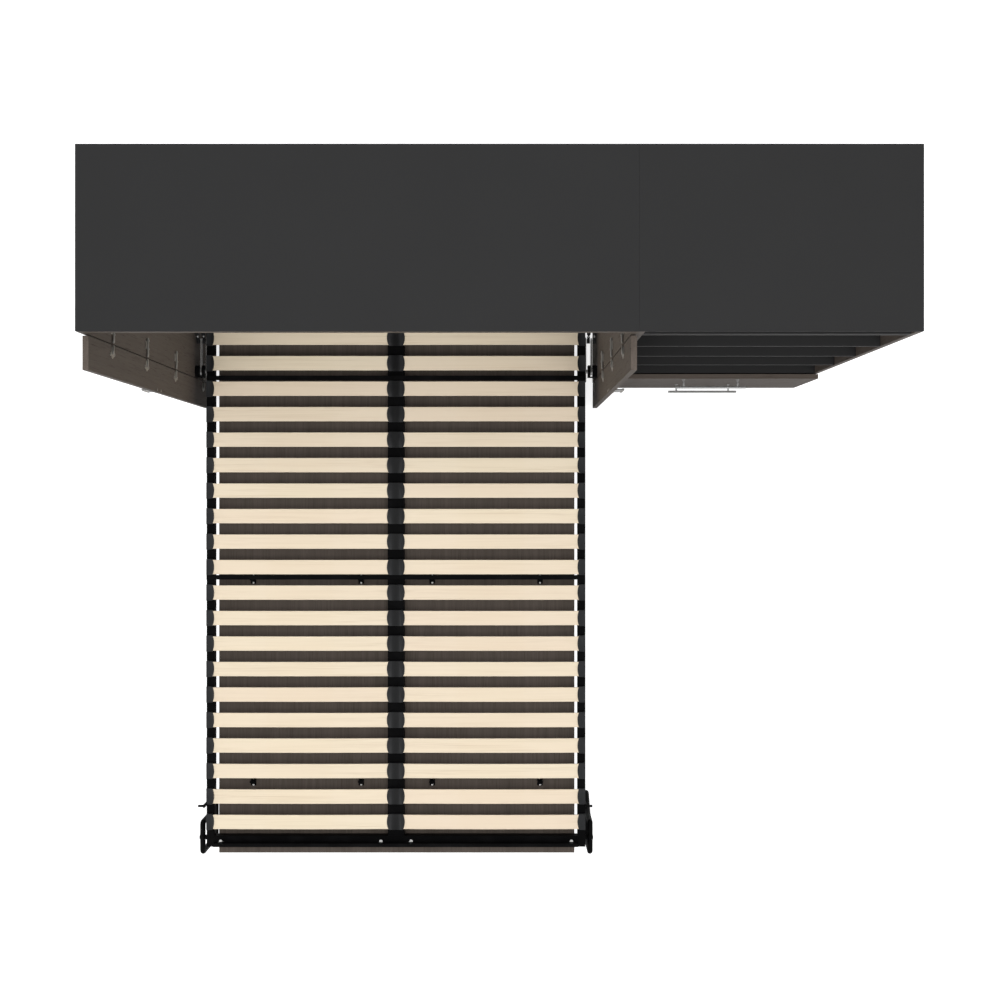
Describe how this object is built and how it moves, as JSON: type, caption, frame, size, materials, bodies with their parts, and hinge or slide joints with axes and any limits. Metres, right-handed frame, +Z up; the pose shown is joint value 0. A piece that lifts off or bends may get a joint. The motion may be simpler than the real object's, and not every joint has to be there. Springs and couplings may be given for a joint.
{
  "type": "murphy wall bed",
  "caption": "Fold-down wall bed in a wood cabinet: slatted steel frame on gas-strut pivots with folding legs, narrow side doors, and a shelf tower with drawers.",
  "frame": {"origin": "middle of the footprint with the bed down, on the floor", "axes": "+Y towards the wall the cabinet stands against, +Z up, +X to the side with the shelf tower"},
  "size_m": [2.2888, 2.2448, 2.175],
  "materials": {
    "top_laminate": "matte graphite laminate",
    "tower_interior": "matte graphite laminate",
    "grained_board": "grey-brown wood grain laminate, satin",
    "frame_steel": "black powder coat, satin",
    "slat_wood": "pale birch, lacquered",
    "bright_hardware": "bright brushed steel",
    "black_hardware": "matte black"
  },
  "bodies": {
    "cabinet": {"left_side_panel": "grained_board", "right_side_panel": "grained_board", "bed_cabinet_top": "top_laminate", "header_rail": "grained_board", "upper_wall_rail": "grained_board", "middle_wall_rail": "grained_board", "lower_wall_rail": "grained_board", "tower_top": "top_laminate", "tower_left_side": "grained_board", "tower_right_side": "grained_board", "tower_back": "tower_interior", "tower_top_rail": "tower_interior", "shelf_1": "tower_interior", "shelf_2": "tower_interior", "shelf_3": "tower_interior", "drawer_deck": "tower_interior", "tower_base": "grained_board", "lower_left_runner": "bright_hardware", "lower_right_runner": "bright_hardware", "upper_left_runner": "bright_hardware", "upper_right_runner": "bright_hardware", "left_strut_pin": "bright_hardware", "right_strut_pin": "bright_hardware", "left_pivot_bracket": "black_hardware", "right_pivot_bracket": "black_hardware"},
    "bed": {"left_side_rail": "frame_steel", "right_side_rail": "frame_steel", "foot_bar": "frame_steel", "head_bar": "frame_steel", "centre_rail": "frame_steel", "left_slats": "slat_wood", "right_slats": "slat_wood", "front_cross_bar": "frame_steel", "middle_cross_bar": "frame_steel", "mattress_stop": "frame_steel", "bed_front_panel": "grained_board", "left_pivot_and_crank": "bright_hardware", "right_pivot_and_crank": "bright_hardware"},
    "left_leg": {"left_leg": "frame_steel"},
    "left_door": {"left_door": "grained_board", "left_door_pull": "bright_hardware"},
    "right_leg": {"right_leg": "frame_steel"},
    "right_door": {"right_door": "grained_board", "right_door_pull": "bright_hardware"},
    "upper_drawer": {"upper_drawer_front": "grained_board", "upper_drawer_box": "tower_interior", "upper_drawer_pull": "bright_hardware"},
    "lower_drawer": {"lower_drawer_front": "grained_board", "lower_drawer_box": "tower_interior", "lower_drawer_pull": "bright_hardware"},
    "left_strut_barrels": {"left_inner_strut_barrel": "black_hardware", "left_outer_strut_barrel": "black_hardware"},
    "left_strut_rods": {"left_inner_strut_rod": "bright_hardware", "left_outer_strut_rod": "bright_hardware"},
    "right_strut_barrels": {"right_inner_strut_barrel": "black_hardware", "right_outer_strut_barrel": "black_hardware"},
    "right_strut_rods": {"right_inner_strut_rod": "bright_hardware", "right_outer_strut_rod": "bright_hardware"}
  },
  "joints": [
    {"name": "bed_fold", "type": "hinge", "parent": "cabinet", "child": "bed", "pos_m": [-0.36193, 0.64638, 0.319], "axis": [-1, 0, 0], "range_deg": [0, 90]},
    {"name": "left_leg_fold", "type": "hinge", "parent": "bed", "child": "left_leg", "pos_m": [-1.07093, -1.05862, 0.322], "axis": [1, 0, 0], "range_deg": [0, 92]},
    {"name": "right_leg_fold", "type": "hinge", "parent": "bed", "child": "right_leg", "pos_m": [0.34707, -1.05862, 0.322], "axis": [1, 0, 0], "range_deg": [0, 92]},
    {"name": "left_door_swing", "type": "hinge", "parent": "cabinet", "child": "left_door", "pos_m": [-1.10393, 0.61238, 1.052], "axis": [0, 0, 1], "range_deg": [0, 24]},
    {"name": "right_door_swing", "type": "hinge", "parent": "cabinet", "child": "right_door", "pos_m": [0.38007, 0.61238, 1.052], "axis": [0, 0, -1], "range_deg": [0, 24]},
    {"name": "upper_drawer_slide", "type": "slide", "parent": "cabinet", "child": "upper_drawer", "axis": [0, -1, 0], "range_m": [0, 0.38]},
    {"name": "lower_drawer_slide", "type": "slide", "parent": "cabinet", "child": "lower_drawer", "axis": [0, -1, 0], "range_m": [0, 0.38]},
    {"name": "left_strut_swing", "type": "hinge", "parent": "cabinet", "child": "left_strut_barrels", "pos_m": [-1.07593, 0.99638, 0.669], "axis": [-1, 0, 0], "range_deg": [0, 4]},
    {"name": "left_strut_stroke", "type": "slide", "parent": "left_strut_barrels", "child": "left_strut_rods", "axis": [0, -0.5639, -0.8258], "range_m": [0, 0.16]},
    {"name": "right_strut_swing", "type": "hinge", "parent": "cabinet", "child": "right_strut_barrels", "pos_m": [0.35207, 0.99638, 0.669], "axis": [-1, 0, 0], "range_deg": [0, 4]},
    {"name": "right_strut_stroke", "type": "slide", "parent": "right_strut_barrels", "child": "right_strut_rods", "axis": [0, -0.5639, -0.8258], "range_m": [0, 0.16]}
  ],
  "couplings": [
    {"joint": "left_leg_fold", "follows": "bed_fold", "ratio": 1},
    {"joint": "left_strut_swing", "follows": "bed_fold", "ratio": 0.032},
    {"joint": "left_strut_stroke", "follows": "bed_fold", "m_per_rad": 0.0987},
    {"joint": "right_leg_fold", "follows": "bed_fold", "ratio": 1},
    {"joint": "right_strut_swing", "follows": "bed_fold", "ratio": 0.032},
    {"joint": "right_strut_stroke", "follows": "bed_fold", "m_per_rad": 0.0987}
  ]
}
